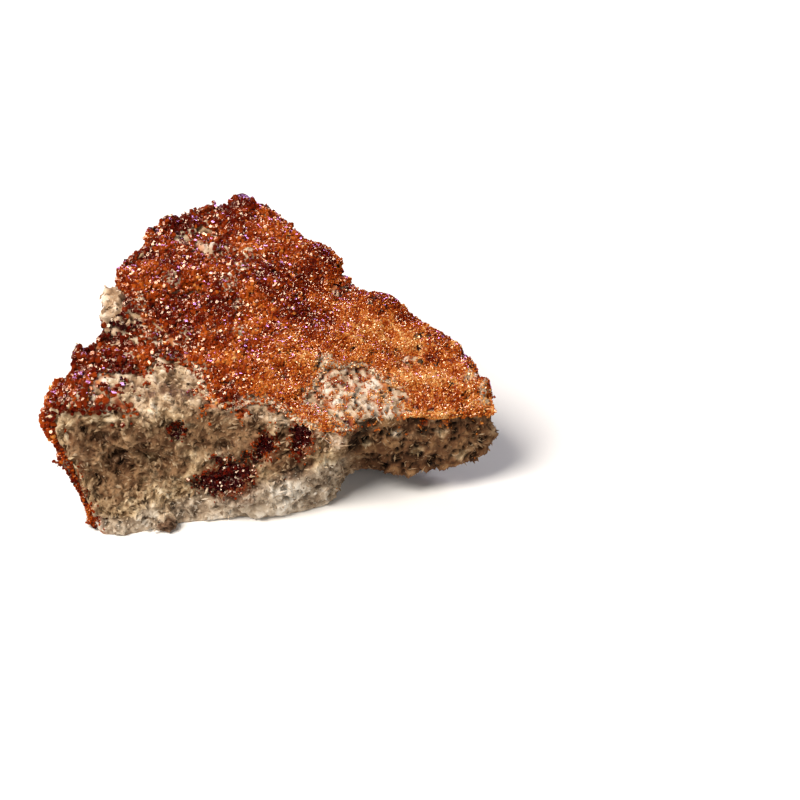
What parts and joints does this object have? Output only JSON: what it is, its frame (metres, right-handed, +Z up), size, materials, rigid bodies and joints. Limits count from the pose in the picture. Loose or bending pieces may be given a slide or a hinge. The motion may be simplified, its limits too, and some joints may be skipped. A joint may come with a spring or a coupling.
{
  "type": "vanadinite on matrix",
  "caption": "Wedge of pale vuggy host rock with a druse of small red-brown hexagonal vanadinite crystals on its sloping face and left flank; a display mineral that rests on its flat underside.",
  "frame": {"origin": "middle of the bounding box, on the rest plane", "axes": "+X to the right along the longest extent, -Y towards the broken front with the pockets, +Z up"},
  "size_m": [0.0976, 0.067, 0.0486],
  "materials": {
    "host_rock": "rough broken carbonate and barite rock",
    "vanadinite": "bright resinous crystal faces"
  },
  "bodies": {
    "root": {"matrix": "host_rock", "vanadinite_druse": "vanadinite", "vug_crystals_lower": "vanadinite", "vug_crystals_middle": "vanadinite", "vug_crystals_cleft": "vanadinite"}
  },
  "joints": []
}
